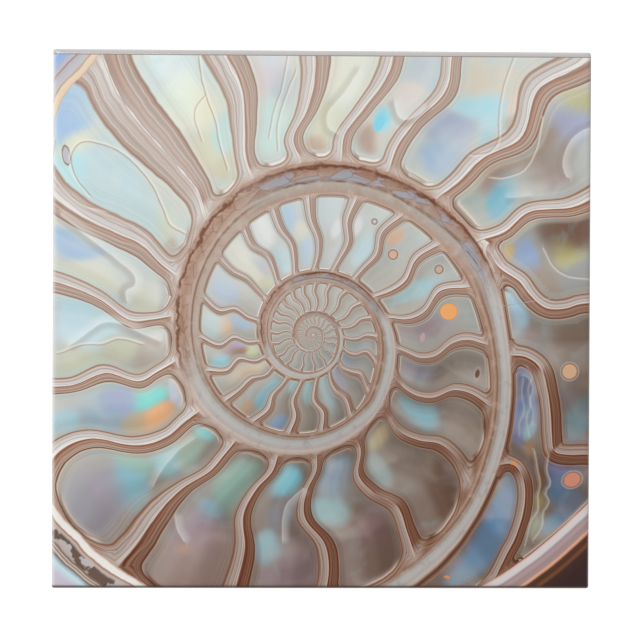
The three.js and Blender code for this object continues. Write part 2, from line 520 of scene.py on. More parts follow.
def nearest_line(x, y, lines, reach):
    """For the nearest of several lines: signed distance, share drawn, first value, light."""
    signed = np.full(len(x), NO_LINE)
    second = np.full(len(x), NO_LINE)
    drawn = np.zeros(len(x))
    value = np.ones(len(x))
    lit = np.zeros(len(x))
    for first, places in lines:
        path = pen_path(places)
        middle_x, middle_y = np.mean(path[0]), np.mean(path[1])
        span = max(np.max(np.hypot(path[0] - middle_x, path[1] - middle_y)), 1) + reach + 2
        near = np.flatnonzero(np.hypot(x - middle_x, y - middle_y) < span)
        far, inside, left = beside_path(x[near], y[near], path)
        closer = np.abs(far) < np.abs(signed[near])
        second[near] = np.where(closer, np.abs(signed[near]), np.minimum(second[near], np.abs(far)))
        chosen = near[closer]
        signed[chosen] = far[closer]
        fade = np.clip(1 + inside[closer], 0, 1) * np.clip((reach - np.abs(far[closer])) / LINE_FADE, 0, 1)
        drawn[chosen] = fade
        value[chosen] = first
        lit[chosen] = left[closer] @ LIGHT
    drawn *= np.clip(second - np.abs(signed) - LINE_APART, 0, 1)
    return np.clip(signed, -reach - 1, reach + 1), drawn, value, lit


def measure_marks(x, y):
    """The single lines and discs, as numbers for each place."""
    marks = {}
    for i, line in enumerate(SPURS):
        at, drawn, _, lit = nearest_line(x, y, (line,), RIDGE_REACH)
        marks.update({f"spur_{i}": at, f"spur_{i}_drawn": drawn, f"spur_{i}_lit": lit})
    for name, lines in (("fold", FOLDS), ("crease", CREASES), ("glow", GLOWS)):
        at, drawn, cover, lit = nearest_line(x, y, lines, PEN_REACH)
        marks[name] = at
        marks[name + "_drawn"] = drawn * cover
    gap = np.full(len(x), NO_DISC)
    outline = np.zeros(len(x))
    colour = np.zeros((len(x), 3))
    for winding, height, long, wide, lean, tint, rim in DISCS:
        middle_x, middle_y = place_on_face(winding, height)
        turn = math.radians(lean)
        along = (x - middle_x) * math.cos(turn) + (y - middle_y) * math.sin(turn)
        aside = (y - middle_y) * math.cos(turn) - (x - middle_x) * math.sin(turn)
        size = math.sqrt(long * wide)
        here = (np.hypot(along / long, aside / wide) - 1) * size
        closer = here < gap
        gap = np.where(closer, here, gap)
        outline = np.where(closer, rim, outline)
        colour = np.where(closer[:, None], linear(tint), colour)
    marks.update(disc=gap, disc_outline=outline)
    return marks, colour


print("single lines:", len(SPURS + FOLDS + CREASES + GLOWS), "and discs:", len(DISCS))

# %% [markdown]
# ## Mother-of-pearl colours
# Pearly shell splits light into soft clouds of blue, rose, green and gold. Each chamber gets
# a ground colour, pale to the upper left and brown-grey to the lower right, and then soft
# clouds of colour, each placed by winding and height. A cloud never crosses a divider.

# %% Mix the pearl clouds
PALE_GROUND = (208, 214, 210)
DARK_GROUND = (122, 109, 101)
VIVID = 1.34             # how much the mixed colours are strengthened
GROUND_WEIGHT = 0.4      # how strongly the ground shows between clouds
CLOUD_WEIGHT = 2.8
CLOUD_FALL, CLOUD_POWER = 1.4, 1.35   # how fast a cloud fades, and how firm its border is
SWAY, SWELL = 1.1, 0.025              # how far borders wander, in degrees and in height

# winding, height, reach in degrees, reach in height, colour
CLOUDS = (
    (12, .5, 6, .25, (160, 165, 172)), (35, .25, 6, .2, (150, 156, 168)),
    (60, .3, 5, .3, (165, 162, 186)), (76, .4, 5, .3, (178, 206, 212)),
    (94, .3, 4, .2, (176, 210, 214)), (109, .15, 4, .15, (176, 208, 214)),
    (110, .9, 4, .12, (150, 180, 214)), (128, .5, 5, .3, (152, 204, 220)),
    (132, .9, 4, .1, (190, 156, 130)), (150, .4, 5, .3, (214, 200, 182)),
    (162, .8, 5, .14, (166, 214, 226)), (170, .55, 3, .14, (166, 142, 156)),
    (172, .42, 3, .12, (172, 162, 192)), (167, .4, 2.5, .16, (152, 118, 98)),
    (165, .2, 5, .12, (205, 214, 182)), (185, .8, 6, .14, (196, 220, 225)),
    (185, .66, 5, .1, (224, 188, 158)), (190, .38, 5, .18, (164, 188, 214)),
    (207, .72, 6, .2, (166, 190, 216)), (226, .6, 7, .35, (238, 233, 217)),
    (232, .45, 3, .2, (182, 182, 196)), (227, .18, 5, .12, (196, 196, 162)),
    (245, .8, 5, .2, (240, 240, 238)), (248, .3, 5, .2, (190, 220, 228)),
    (259, .8, 3, .2, (176, 206, 230)), (264, .35, 4, .2, (180, 206, 228)),
    (262, .6, 4, .14, (235, 228, 206)), (275, .85, 5, .2, (200, 211, 214)),
    (281.5, .65, 2.5, .09, (240, 240, 238)), (292, .7, 2.5, .09, (236, 236, 236)),
    (300.5, .45, 4, .2, (190, 216, 222)), (308, .77, 3, .1, (215, 165, 130)),
    (337, .5, 4, .25, (160, 204, 214)), (355, .4, 5, .3, (166, 148, 156)),
    # the outer turn, from its right-hand side round by the bottom
    (378, .8, 9, .3, (130, 116, 106)), (378, .3, 5, .2, (150, 150, 162)),
    (395, .85, 8, .22, (134, 121, 112)), (395, .38, 5.5, .2, (160, 198, 210)),
    (415, .85, 9, .2, (112, 92, 82)), (414, .6, 7, .16, (142, 132, 126)),
    (424, .4, 4, .12, (154, 176, 178)), (416, .17, 7, .08, (184, 174, 148)),
    (438, .9, 8, .2, (122, 106, 99)), (433, .7, 5, .12, (134, 112, 116)),
    (445, .48, 5, .1, (152, 194, 202)), (440, .25, 6, .15, (146, 168, 186)),
    (455, .85, 6, .2, (144, 130, 136)), (461.5, .68, 4, .07, (156, 194, 204)),
    (460, .48, 4, .1, (150, 152, 160)), (460, .2, 5, .13, (152, 208, 222)),
    (477, .85, 7, .2, (164, 148, 144)), (480, .68, 5, .1, (164, 152, 162)),
    (480, .76, 1.6, .03, (200, 155, 128)), (480, .54, 4, .08, (152, 176, 188)),
    (477, .3, 6, .16, (152, 180, 172)),
    (501, .9, 7, .1, (160, 158, 166)), (502, .78, 7, .06, (168, 162, 172)),
    (499, .69, 6, .07, (152, 190, 202)), (504, .6, 5, .06, (152, 184, 174)),
    (500, .42, 4, .1, (160, 200, 204)), (497, .28, 4, .1, (160, 178, 166)),
    (502, .22, 3, .06, (165, 154, 144)), (500, .1, 5, .07, (156, 214, 216)),
    (521, .8, 3, .07, (168, 202, 212)), (518, .6, 6, .1, (158, 178, 190)),
    (514, .42, 3, .08, (188, 176, 155)), (513, .27, 3.4, .13, (230, 184, 148)),
    (519.5, .28, 2.6, .14, (138, 218, 210)), (521, .48, 3, .09, (166, 172, 200)),
    (516, .07, 8, .04, (200, 204, 215)),
    (533, .65, 4, .14, (202, 206, 187)), (536, .4, 4, .14, (194, 194, 176)),
    (532, .15, 6, .12, (174, 164, 154)), (540, .62, 3.5, .16, (204, 224, 230)),
    (545, .63, 4, .12, (178, 206, 216)), (541, .75, 6, .05, (172, 176, 178)),
    (543, .35, 2.6, .14, (190, 222, 228)), (540, .3, 2, .1, (166, 176, 184)),
    (554, .62, 3, .2, (216, 215, 200)), (560.5, .68, 2, .14, (146, 176, 206)),
    (552, .2, 5, .08, (200, 200, 186)), (554, .08, 6, .05, (164, 160, 158)),
    (573, .84, 4, .1, (188, 234, 242)), (577, .62, 6, .16, (196, 216, 221)),
    (575, .4, 5, .14, (201, 215, 216)), (577, .24, 5, .08, (206, 211, 191)),
    (572, .1, 3, .05, (186, 152, 128)), (581, .17, 3, .12, (196, 206, 201)),
    (583, .95, 5, .06, (160, 190, 226)), (578, .88, 3, .06, (225, 226, 205)),
    (602, .8, 6, .14, (228, 239, 240)), (601, .62, 6, .12, (235, 240, 226)),
    (605, .5, 4, .08, (232, 228, 206)), (606, .33, 3, .08, (184, 224, 226)),
    (600, .3, 4, .12, (214, 214, 194)), (603, .16, 5, .08, (200, 196, 172)),
    (620, .68, 6, .1, (216, 218, 224)), (619, .52, 5, .08, (214, 206, 212)),
    (617, .28, 5, .14, (205, 224, 220)), (624, .45, 3, .08, (186, 196, 200)),
    (636, .5, 6, .14, (226, 228, 216)), (634, .24, 4, .1, (214, 214, 195)),
    (632, .1, 4, .07, (190, 162, 142)), (637, .14, 3, .06, (205, 210, 181)),
    (652, .58, 5, .1, (192, 200, 204)), (652, .42, 3.5, .05, (221, 210, 205)),
    (647.3, .26, 2, .05, (150, 214, 229)), (645, .14, 4, .06, (176, 152, 141)),
    (650, .18, 4, .07, (200, 196, 186)),
    (664, .62, 4, .08, (214, 206, 192)), (667, .5, 5, .07, (178, 218, 228)),
    (663, .36, 5, .07, (158, 170, 194)), (666, .2, 5, .1, (158, 180, 204)),
    (671.5, .42, 2, .04, (150, 200, 216)), (671.2, .6, 2, .035, (236, 210, 196)),
    (674, .55, 1.5, .03, (164, 124, 102)),
    (679, .78, 3, .05, (190, 190, 150)), (680, .66, 4, .06, (170, 176, 200)),
    (685, .5, 5, .1, (152, 136, 130)), (684, .24, 4.5, .08, (124, 178, 196)),
    (678, .1, 4, .05, (170, 180, 176)), (678, .4, 3, .2, (150, 120, 102)),
    (697, .46, 4, .12, (112, 86, 74)), (702, .42, 3, .06, (180, 175, 132)),
    (707, .41, 3, .08, (146, 150, 152)), (699, .19, 3, .05, (162, 178, 208)),
    (697.5, .1, 2.4, .03, (206, 180, 120)), (707, .23, 4, .08, (150, 134, 122)),
    (712, .07, 7, .05, (176, 204, 220)), (733, .13, 7, .1, (112, 130, 168)),
    (741, .1, 5, .1, (118, 134, 172)), (764, .3, 8, .16, (124, 154, 186)), (772, .5, 7, .2, (128, 156, 186)),
    (748, .66, 4, .12, (120, 132, 168)), (722, .1, 3, .06, (150, 138, 136)),
    (722, .45, 5, .14, (118, 102, 92)), (734.7, .39, 4, .12, (134, 132, 134)),
    (738, .55, 4, .08, (128, 150, 158)), (728, .25, 4, .05, (150, 140, 136)),
    (738, .73, 5, .1, (140, 122, 110)),
    (731, .1, 2.5, .05, (112, 128, 152)), (736, .16, 3, .05, (128, 138, 170)),
    (739, .13, 2, .04, (160, 196, 200)), (743, .2, 2.5, .05, (150, 186, 196)),
    (746, .13, 2.5, .05, (122, 128, 158)), (748, .28, 2, .05, (150, 126, 100)),
    (756, .11, 3, .07, (134, 148, 160)), (760, .21, 4, .08, (122, 154, 186)),
    (766, .33, 4, .1, (122, 154, 184)), (772, .47, 4, .12, (124, 152, 174)),
    (777, .6, 4, .12, (140, 158, 172)),
    (753, .49, 1.6, .06, (124, 94, 72)), (757.5, .58, 1.6, .08, (150, 140, 108)),
    (761, .76, 1.8, .08, (140, 156, 132)), (766, .93, 2, .1, (150, 150, 140)),
    (748, .61, 2.6, .07, (140, 144, 172)), (752, .72, 3, .1, (112, 142, 172)),
    (753, .91, 3, .1, (128, 140, 158)), (757.5, .9, 2, .08, (118, 154, 178)),
    (746, .66, 1.6, .05, (112, 90, 78)),
)


def pearl_colour(place):
    """The linear colour of the pearl at each place."""
    towards_light = ((place["x"] * LIGHT[0] + place["y"] * LIGHT[1]) / 50 + 1) / 2
    share = np.clip(towards_light, 0, 1)[:, None]
    share = share * share * (3 - 2 * share)
    colour = linear(DARK_GROUND) * (1 - share) + linear(PALE_GROUND) * share
    total = np.full(len(share), GROUND_WEIGHT)
    mixed = colour * total[:, None]
    chamber = np.minimum(np.floor(place["number"]), LAST_CHAMBER)
    sway = np.sin(0.35 * place["x"] + 2 * np.sin(0.23 * place["y"]))
    swell = np.sin(0.41 * place["y"] + 2 * np.sin(0.29 * place["x"]))
    at_winding = place["winding"] + SWAY * sway
    at_height = place["height"] + SWELL * swell
    for winding, height, reach, rise, tint in CLOUDS:
        home = divider_number(np.array([float(winding)]), np.array([float(height)]))[0]
        far = ((at_winding - winding) / reach) ** 2 + ((at_height - height) / rise) ** 2
        same_chamber = chamber == min(math.floor(home), LAST_CHAMBER)
        weight = CLOUD_WEIGHT * np.exp(-CLOUD_FALL * far ** CLOUD_POWER) * same_chamber
        mixed += linear(tint) * weight[:, None]
        total += weight
    mixed /= total[:, None]
    grey = np.mean(mixed, axis=1)[:, None]
    return np.clip(grey + (mixed - grey) * VIVID, 0, 1)


print("clouds of colour:", len(CLOUDS))


# %% [markdown]
# ## The tile's body
# The body could be a cube with a bevel, but the print needs many mesh points where the
# drawing is fine, near the spiral's centre. So the face is a web: rays run from the spiral's
# centre to the edge, crossed by rings that lie closer together near the centre. The same
# rays run on over the rolled edge and down the side. The back is one flat sheet, cut round
# its slots by a Delaunay triangulation, and the slots are sunk into it.

# %% Lay out the rays and rings of the face
RAY_COUNT = 380
RING_COUNT = 216
RING_START = 6 * MM      # rings grow apart in step with this plus their radius
ROLL_STEPS = 8
CORNER_STEPS = 4
CENTRE_M = CENTRE * MM
LEAST_STEP = 1e-9        # a ray that runs less than this across never meets that side


def outline_reach(angle, inset):
    """How far a ray from the spiral's centre runs to the rounded square, moved in by inset."""
    half = HALF - inset
    east, north = math.cos(angle), math.sin(angle)
    reaches = []
    for start, step in ((CENTRE_M[0], east), (CENTRE_M[1], north)):
        if abs(step) > LEAST_STEP:
            reaches.append((math.copysign(half, step) - start) / step)
    reach = min(reaches)
    x = CENTRE_M[0] + reach * east
    y = CENTRE_M[1] + reach * north
    straight = half - CORNER
    if abs(x) > straight and abs(y) > straight:
        middle = np.array([math.copysign(straight, x), math.copysign(straight, y)])
        away = middle - CENTRE_M
        along = away[0] * east + away[1] * north
        aside = away[0] * north - away[1] * east
        reach = along + math.sqrt(max(CORNER ** 2 - aside ** 2, 0))
    return reach


def ray_angles():
    """Even rays, and a few more that catch each rounded corner."""
    angles = list(np.arange(RAY_COUNT) * 2 * math.pi / RAY_COUNT)
    for sx, sy in SQUARE:
        for i in range(CORNER_STEPS + 1):
            turn = math.pi / 2 * i / CORNER_STEPS
            x = sx * (HALF - CORNER + CORNER * math.cos(turn)) - CENTRE_M[0]
            y = sy * (HALF - CORNER + CORNER * math.sin(turn)) - CENTRE_M[1]
            angles.append(math.atan2(y, x) % (2 * math.pi))
    return sorted(angles)


RAYS = ray_angles()


def ring_points(inset, z):
    """One point on every ray, where it meets the outline moved in by inset, at height z."""
    points = []
    for angle in RAYS:
        reach = outline_reach(angle, inset)
        points.append((CENTRE_M[0] + reach * math.cos(angle), CENTRE_M[1] + reach * math.sin(angle), z))
    return points


def face_rings():
    """The rings of the flat face, from the first one round the centre to the rolled edge."""
    top = low_corner[2] + THICK
    full = [outline_reach(angle, ROLL) for angle in RAYS]
    rings = []
    for i in range(1, RING_COUNT + 1):
        ring = []
        for angle, reach in zip(RAYS, full):
            r = RING_START * ((1 + reach / RING_START) ** (i / RING_COUNT) - 1)
            ring.append((CENTRE_M[0] + r * math.cos(angle), CENTRE_M[1] + r * math.sin(angle), top))
        rings.append(ring)
    return rings


def side_rings():
    """The rings over the rolled edge, down the side and round the back's small slope."""
    rings = []
    for i in range(ROLL_STEPS - 1, -1, -1):
        turn = math.pi / 2 * i / ROLL_STEPS
        inset = ROLL * (1 - math.cos(turn))
        rings.append(ring_points(inset, low_corner[2] + THICK - ROLL + ROLL * math.sin(turn)))
    rings.append(ring_points(0, low_corner[2] + BACK_TRIM))
    rings.append(ring_points(BACK_TRIM, low_corner[2]))
    return rings


# %% [markdown]
# ## The grooved back
# A tile's back is never seen once it hangs, but it is what the cement holds. The slots are
# long ovals. A boolean modifier could cut them. Here the rims are drawn on the flat back
# instead, so that every point has a known place, and each oval's floor is sunk a little.

# %% Cut the back round its slots
PRINT, SIDE, BACK = 0, 1, 2   # the finish of a face of the mesh
SLOT_END_STEPS = 8
CUT_EXACTNESS = 1e-9     # m, rim points nearer than this would be joined


def slot_middle(number):
    """How far up the back one slot lies."""
    return (number - (SLOT_COUNT - 1) / 2) * SLOT_PITCH


def nearest_slot(y):
    """The number of the slot that is nearest to a place on the back."""
    return round(y / SLOT_PITCH + (SLOT_COUNT - 1) / 2)


def slot_rim(number):
    """The oval rim of one slot, as points on the back."""
    y = slot_middle(number)
    radius = SLOT_WIDTH / 2
    straight = SLOT_LENGTH / 2 - radius
    rim = []
    for side, first in ((1, -math.pi / 2), (-1, math.pi / 2)):
        for i in range(SLOT_END_STEPS + 1):
            turn = first + math.pi * i / SLOT_END_STEPS
            rim.append((side * straight + radius * math.cos(turn), y + radius * math.sin(turn)))
    return rim


def back_faces(outer, points, faces, marks):
    """Adds the back: flat between the outer ring and the slots, with sunk slot floors."""
    flat = [Vector(points[i][:2]) for i in outer]
    rims = [slot_rim(number) for number in range(SLOT_COUNT)]
    loops = [list(range(len(flat)))]
    for rim in rims:
        loops.append(list(range(len(flat), len(flat) + len(rim))))
        flat.extend(Vector(p) for p in rim)
    edges = [(loop[i - 1], loop[i]) for loop in loops for i in range(len(loop))]
    made = delaunay_2d_cdt(flat, edges, [], 1, CUT_EXACTNESS)
    index = []
    for i, source in enumerate(made[3]):
        if source[0] < len(outer):
            index.append(outer[source[0]])
        else:
            index.append(len(points))
            points.append((made[0][i][0], made[0][i][1], low_corner[2]))
    source_of = {source[0]: i for i, source in enumerate(made[3])}
    sunk = {}
    for triangle in made[2]:
        middle = sum((made[0][i] for i in triangle), Vector((0, 0))) / 3
        number = nearest_slot(middle.y)
        beyond = max(abs(middle.x) - (SLOT_LENGTH - SLOT_WIDTH) / 2, 0)
        aside = middle.y - slot_middle(number)
        in_slot = 0 <= number < SLOT_COUNT and math.hypot(beyond, aside) < SLOT_WIDTH / 2
        corners = [index[i] for i in triangle]
        if in_slot:
            for i, corner in zip(triangle, corners):
                if corner not in sunk:
                    sunk[corner] = len(points)
                    points.append((points[corner][0], points[corner][1], low_corner[2] + SLOT_DEPTH))
            corners = [sunk[corner] for corner in corners]
        faces.append(corners[::-1])
        marks.append(BACK)
    for loop in loops[1:]:
        for i in range(len(loop)):
            a = index[source_of[loop[i - 1]]]
            b = index[source_of[loop[i]]]
            faces.append((a, b, sunk[b], sunk[a]))
            marks.append(BACK)


print("slots on the back:", SLOT_COUNT, "with rims of", len(slot_rim(0)), "points")

# %% [markdown]
# ## One closed mesh
# A real tile is one solid piece of clay, so the face, the side and the back share their
# points and close into one mesh. Each face of the mesh keeps the number of its finish. A flat
# map of the whole surface is laid out as well, so that the finishes can be baked to pictures.

# %% Build the tile's mesh
BARE_ROWS = 3            # the last rows of the side show bare clay


def build_tile():
    """The tile as one closed mesh: face, rolled edge, sides and grooved back."""
    points = [(CENTRE_M[0], CENTRE_M[1], low_corner[2] + THICK)]
    faces = []
    marks = []
    rings = face_rings() + side_rings()
    count = len(RAYS)
    for ring in rings:
        points.extend(ring)
    for j in range(count):
        faces.append((0, 1 + j, 1 + (j + 1) % count))
        marks.append(PRINT)
    for i in range(len(rings) - 1):
        start = 1 + i * count
        for j in range(count):
            k = (j + 1) % count
            faces.append((start + j, start + count + j, start + count + k, start + k))
            marks.append(PRINT if i < len(rings) - BARE_ROWS else SIDE)
    outer = [1 + (len(rings) - 1) * count + j for j in range(count)]
    back_faces(outer, points, faces, marks)
    mesh = bpy.data.meshes.new("printed_tile")
    mesh.from_pydata(points, [], faces)
    mesh.validate()
    mesh.update()
    for polygon, mark in zip(mesh.polygons, marks):
        polygon.material_index = mark
        polygon.use_smooth = mark == PRINT
    return mesh


MAP_EDGE = 0.01          # free strip round the islands of the flat map
FACE_PART = 0.83         # share of the map's width that the face and its unrolled sides take
BACK_PART = 0.14
SLOT_SHRINK = (0.98, 0.7)   # sunk floors are drawn smaller, so that the slot walls get room


def map_place(co, is_back):
    """Where a mesh point lies on the flat map, from 0 to 1."""
    x, y, z = co
    if is_back:
        if z > low_corner[2] + SLOT_DEPTH / 2:
            middle = slot_middle(nearest_slot(y))
            x = x * SLOT_SHRINK[0]
            y = middle + (y - middle) * SLOT_SHRINK[1]
        start = 1 - MAP_EDGE - BACK_PART
        u, v = (0.5 + at / (2 * HALF) for at in (x, y))
        return start + BACK_PART * u, MAP_EDGE + BACK_PART * v
    outwards = (1 + (low_corner[2] + THICK - z) / HALF) / (1 + THICK / HALF)
    u, v = (0.5 + at * outwards / (2 * HALF) for at in (x, y))
    return MAP_EDGE + FACE_PART * u, MAP_EDGE + FACE_PART * v


def lay_out_map(mesh):
    """A flat map for texture baking: the face is large, its sides unrolled, the back small."""
    layer = mesh.uv_layers.new(name="OFBake")
    for polygon in mesh.polygons:
        for loop in polygon.loop_indices:
            co = mesh.vertices[mesh.loops[loop].vertex_index].co
            layer.data[loop].uv = map_place(co, polygon.material_index == BACK)


tile_mesh = build_tile()
lay_out_map(tile_mesh)
tile = bpy.data.objects.new("printed_tile", tile_mesh)
bpy.context.collection.objects.link(tile)
triangles = sum(len(polygon.vertices) - 2 for polygon in tile_mesh.polygons)
print("tile mesh:", len(tile_mesh.vertices), "points,", triangles, "triangles")

# %% [markdown]
# ## Writing the measures onto the mesh
# An attribute is a named number or colour that every mesh point carries. The drawing's
# measures become attributes here, so that the shader can read them by name.

# %% Store the drawing's measures as attributes
points = np.empty(len(tile_mesh.vertices) * 3)
tile_mesh.vertices.foreach_get("co", points)
points = points.reshape(-1, 3) / MM
place = measure(points[:, 0], points[:, 1])
place["x"] = points[:, 0]
place["y"] = points[:, 1]
place["tone"] = np.clip((place["x"] * LIGHT[0] + place["y"] * LIGHT[1]) / 100 + 0.5, 0, 1)
marks, disc_colour = measure_marks(place["x"], place["y"])
place.update(marks)
NUMBER_ATTRIBUTES = (
    "rib_cos", "rib_sin", "rib_pitch", "rib_half", "rib_lit", "wall_gap", "wall_lit", "wall_across",
    "wall_unit", "rounding", "crust", "worn", "above", "past_left", "past_foot", "past_right",
    "tone", "clock", "radius", *marks)
for name in NUMBER_ATTRIBUTES:
    attribute = tile_mesh.attributes.new(name, "FLOAT", "POINT")
    attribute.data.foreach_set("value", place[name])
for name, colours in (("pearl", pearl_colour(place)), ("disc_paint", disc_colour)):
    attribute = tile_mesh.attributes.new(name, "FLOAT_COLOR", "POINT")
    rgba = np.concatenate([colours, np.ones((len(colours), 1))], axis=1)
    attribute.data.foreach_set("color", rgba.ravel())
print("attributes:", len(tile_mesh.attributes))

# %% [markdown]
# ## Shader maths as Python sums
# A shader is a graph of small nodes. Written out node by node it is hard to read, so one
# small class wraps a socket and lets Python's own signs add the nodes: `1 - mask` adds a
# Math node that subtracts. Any other node comes from one method, `Paint.node`.

# %% Wrap sockets so that sums add nodes
class Value:
    """A socket that carries a number, on which Python sums can be done."""

    def __init__(self, paint, socket):
        self.paint = paint
        self.socket = socket

    def __add__(self, other):
        return self.paint.math("ADD", self, other)

    def __radd__(self, other):
        return self.paint.math("ADD", other, self)

    def __sub__(self, other):
        return self.paint.math("SUBTRACT", self, other)

    def __rsub__(self, other):
        return self.paint.math("SUBTRACT", other, self)

    def __mul__(self, other):
        return self.paint.math("MULTIPLY", self, other)

    def __rmul__(self, other):
        return self.paint.math("MULTIPLY", other, self)

    def __truediv__(self, other):
        return self.paint.math("DIVIDE", self, other)

    def __neg__(self):
        return self.paint.math("MULTIPLY", self, -1)


class Paint:
    """A material whose nodes are added by expressions."""

    def __init__(self, name):
        self.material = bpy.data.materials.new(name)
        self.material.use_nodes = True
        self.tree = self.material.node_tree
        self.tree.nodes.clear()

    def node(self, kind, settings=None, sockets=None, out=0):
        """Adds a node of a kind, makes its settings, fills its sockets, and gives an output."""
        made = self.tree.nodes.new(kind)
        for name, value in (settings or {}).items():
            if name == "stops":
                self.set_stops(made.color_ramp, value)
            else:
                setattr(made, name, value)
        for name, value in (sockets or {}).items():
            if isinstance(value, Value):
                self.tree.links.new(value.socket, made.inputs[name])
            else:
                made.inputs[name].default_value = value
        return Value(self, made.outputs[out]) if made.outputs else None

    def set_stops(self, ramp, stops):
        """Gives a colour ramp its stops: place, colour as 0-255 values, cover."""
        while len(ramp.elements) > 1:
            ramp.elements.remove(ramp.elements[-1])
        for i, (at, colour, cover) in enumerate(stops):
            stop = ramp.elements[0] if i == 0 else ramp.elements.new(at)
            stop.position = at
            stop.color = (*linear(colour), cover)

    def math(self, operation, *values):
        settings = {"operation": operation}
        return self.node("ShaderNodeMath", settings, dict(enumerate(values)))

    def least(self, a, b):
        return self.math("MINIMUM", a, b)

    def most(self, a, b):
        return self.math("MAXIMUM", a, b)

    def rise(self, value, start, end):
        """0 below start, 1 above end, and a smooth slope between them."""
        sockets = {"Value": value, "From Min": start, "From Max": end}
        return self.node("ShaderNodeMapRange", {"interpolation_type": "SMOOTHSTEP"}, sockets)

    def measure(self, name):
        """A number attribute of the mesh."""
        return self.node("ShaderNodeAttribute", {"attribute_name": name}, out=2)

    def colour_of(self, name):
        """A colour attribute of the mesh."""
        return self.node("ShaderNodeAttribute", {"attribute_name": name}, out=0)

    def mix(self, share, a, b, blend="MIX"):
        """Goes from colour a to colour b as share goes from 0 to 1."""
        settings = {"data_type": "RGBA", "blend_type": blend}
        sides = [side if isinstance(side, Value) else (*linear(side), 1) for side in (a, b)]
        return self.node("ShaderNodeMix", settings, {0: share, 6: sides[0], 7: sides[1]}, out=2)

    def veil(self, colour, value, start, end, share, tint, blend="MIX"):
        """Lays a tint over a colour, up to share, where value rises from start to end."""
        return self.mix(self.rise(value, start, end) * share, colour, tint, blend)

    def ramp(self, at, stops):
        """A colour ramp's colour and its cover."""
        made = self.node("ShaderNodeValToRGB", {"stops": stops}, {"Fac": at})
        return made, Value(self, made.socket.node.outputs[1])

    def noise(self, place, scale, detail=2.0, dimensions="3D", **sockets):
        """Soft noise about 0.5."""
        sockets = {"Scale": scale, "Detail": detail, **sockets}
        if dimensions == "1D":
            sockets["W"] = place
        else:
            sockets["Vector"] = place
        return self.node("ShaderNodeTexNoise", {"noise_dimensions": dimensions}, sockets)

    def finish(self, **sockets):
        """Ends the material with one Principled surface."""
        sockets = {name.replace("_", " "): value for name, value in sockets.items()}
        surface = self.node("ShaderNodeBsdfPrincipled", {}, sockets)
        self.node("ShaderNodeOutputMaterial", {}, {"Surface": surface})
        print(self.material.name, "has", len(self.tree.nodes), "nodes")
        return self.material


# %% [markdown]
# ## The printed, glazed face
# The print is a picture of relief, so the relief is painted, not modelled. The shader finds
# how deep a place lies inside the frame of dividers and walls, and whether the painted ridge
# slopes towards the light there. A ridge has a bright and a shaded side, each its own ramp of
# colours from the pearl, over the ridge's foot, to its crest. A wall's edge has such a pair too.

# %% Mix the ridges' colours
# depth in units (negative is inside the ridge), colour, how much it covers the pearl
BRIGHT_RIDGE = (
    (-2.6, (238, 236, 233), 1), (-2.25, (236, 233, 229), 1), (-2.05, (180, 166, 158), 1),
    (-1.9, (206, 203, 202), 1), (-1.3, (212, 209, 207), 1), (-1.12, (200, 192, 186), 1),
    (-1.0, (150, 126, 112), 1), (-0.88, (206, 198, 192), 1), (-0.5, (200, 190, 182), 1),
    (-0.25, (190, 160, 140), 1), (-0.04, (138, 92, 70), 1), (0.1, (160, 120, 98), 0.85),
    (0.3, (156, 140, 128), 0.45), (1.0, (146, 132, 122), 0.3), (2.3, (146, 132, 122), 0),
)
SHADED_RIDGE = (
    (-2.6, (240, 232, 224), 1), (-2.48, (162, 116, 92), 1), (-2.3, (118, 76, 58), 1),
    (-2.05, (172, 124, 100), 1), (-1.7, (188, 148, 124), 1), (-1.46, (130, 92, 74), 1),
    (-1.3, (194, 162, 142), 1), (-1.05, (170, 144, 128), 1), (-0.75, (150, 130, 116), 1),
    (-0.45, (180, 152, 134), 1), (-0.2, (172, 130, 106), 1), (-0.05, (108, 68, 50), 1),
    (0.06, (124, 84, 64), 1), (0.2, (200, 178, 156), 0.7), (0.32, (226, 217, 198), 0.5),
    (0.55, (146, 128, 116), 0.4), (1.2, (134, 118, 108), 0.35), (2.3, (134, 118, 108), 0),
)
BRIGHT_WALL = (
    (-2.6, (188, 156, 138), 1), (-1.2, (190, 160, 142), 1), (-0.95, (156, 116, 94), 1),
    (-0.75, (204, 182, 168), 1), (-0.3, (192, 162, 142), 1), (-0.06, (142, 100, 76), 1),
    (0.1, (186, 160, 140), 1), (0.28, (244, 241, 236), 1), (0.7, (238, 235, 228), 0.95),
    (0.95, (190, 182, 172), 0.8), (1.15, (214, 210, 202), 0.4), (2.0, (214, 210, 202), 0),
)
SHADED_WALL = (
    (-2.6, (190, 172, 160), 1), (-1.5, (196, 180, 170), 1), (-1.3, (160, 130, 114), 1),
    (-1.1, (204, 188, 176), 1), (-0.75, (196, 170, 154), 1), (-0.6, (150, 112, 92), 1),
    (-0.42, (204, 182, 168), 1), (-0.15, (176, 138, 116), 1), (0, (88, 58, 44), 1),
    (0.14, (128, 102, 88), 1), (0.5, (154, 136, 124), 1), (0.85, (166, 144, 128), 1),
    (0.98, (150, 112, 90), 1), (1.1, (222, 206, 184), 0.9), (1.35, (236, 231, 214), 0.6),
    (1.9, (226, 224, 212), 0),
)
PROFILE_SPAN = 2.6       # units on each side of a ridge's foot that the ramps cover
CORNER_FLOW = 0.9        # units inside a ridge up to which its lines still follow the rounding
FAR_OFF = 12.0           # units, where nothing of a ridge is seen


def profile(stops):
    """A ridge profile's stops, moved from depths in units to a ramp's 0 to 1."""
    return [((depth + PROFILE_SPAN) / (2 * PROFILE_SPAN), colour, cover) for depth, colour, cover in stops]


# %% [markdown]
# ## Where the ridges run together
# A divider meets the wall in a soft round corner, as if clay had been smoothed in with a
# finger. Taking the nearer of two ridges would leave a sharp corner. Instead, near both of
# them, the two depths are joined like the sides of a right triangle, which rounds it off.

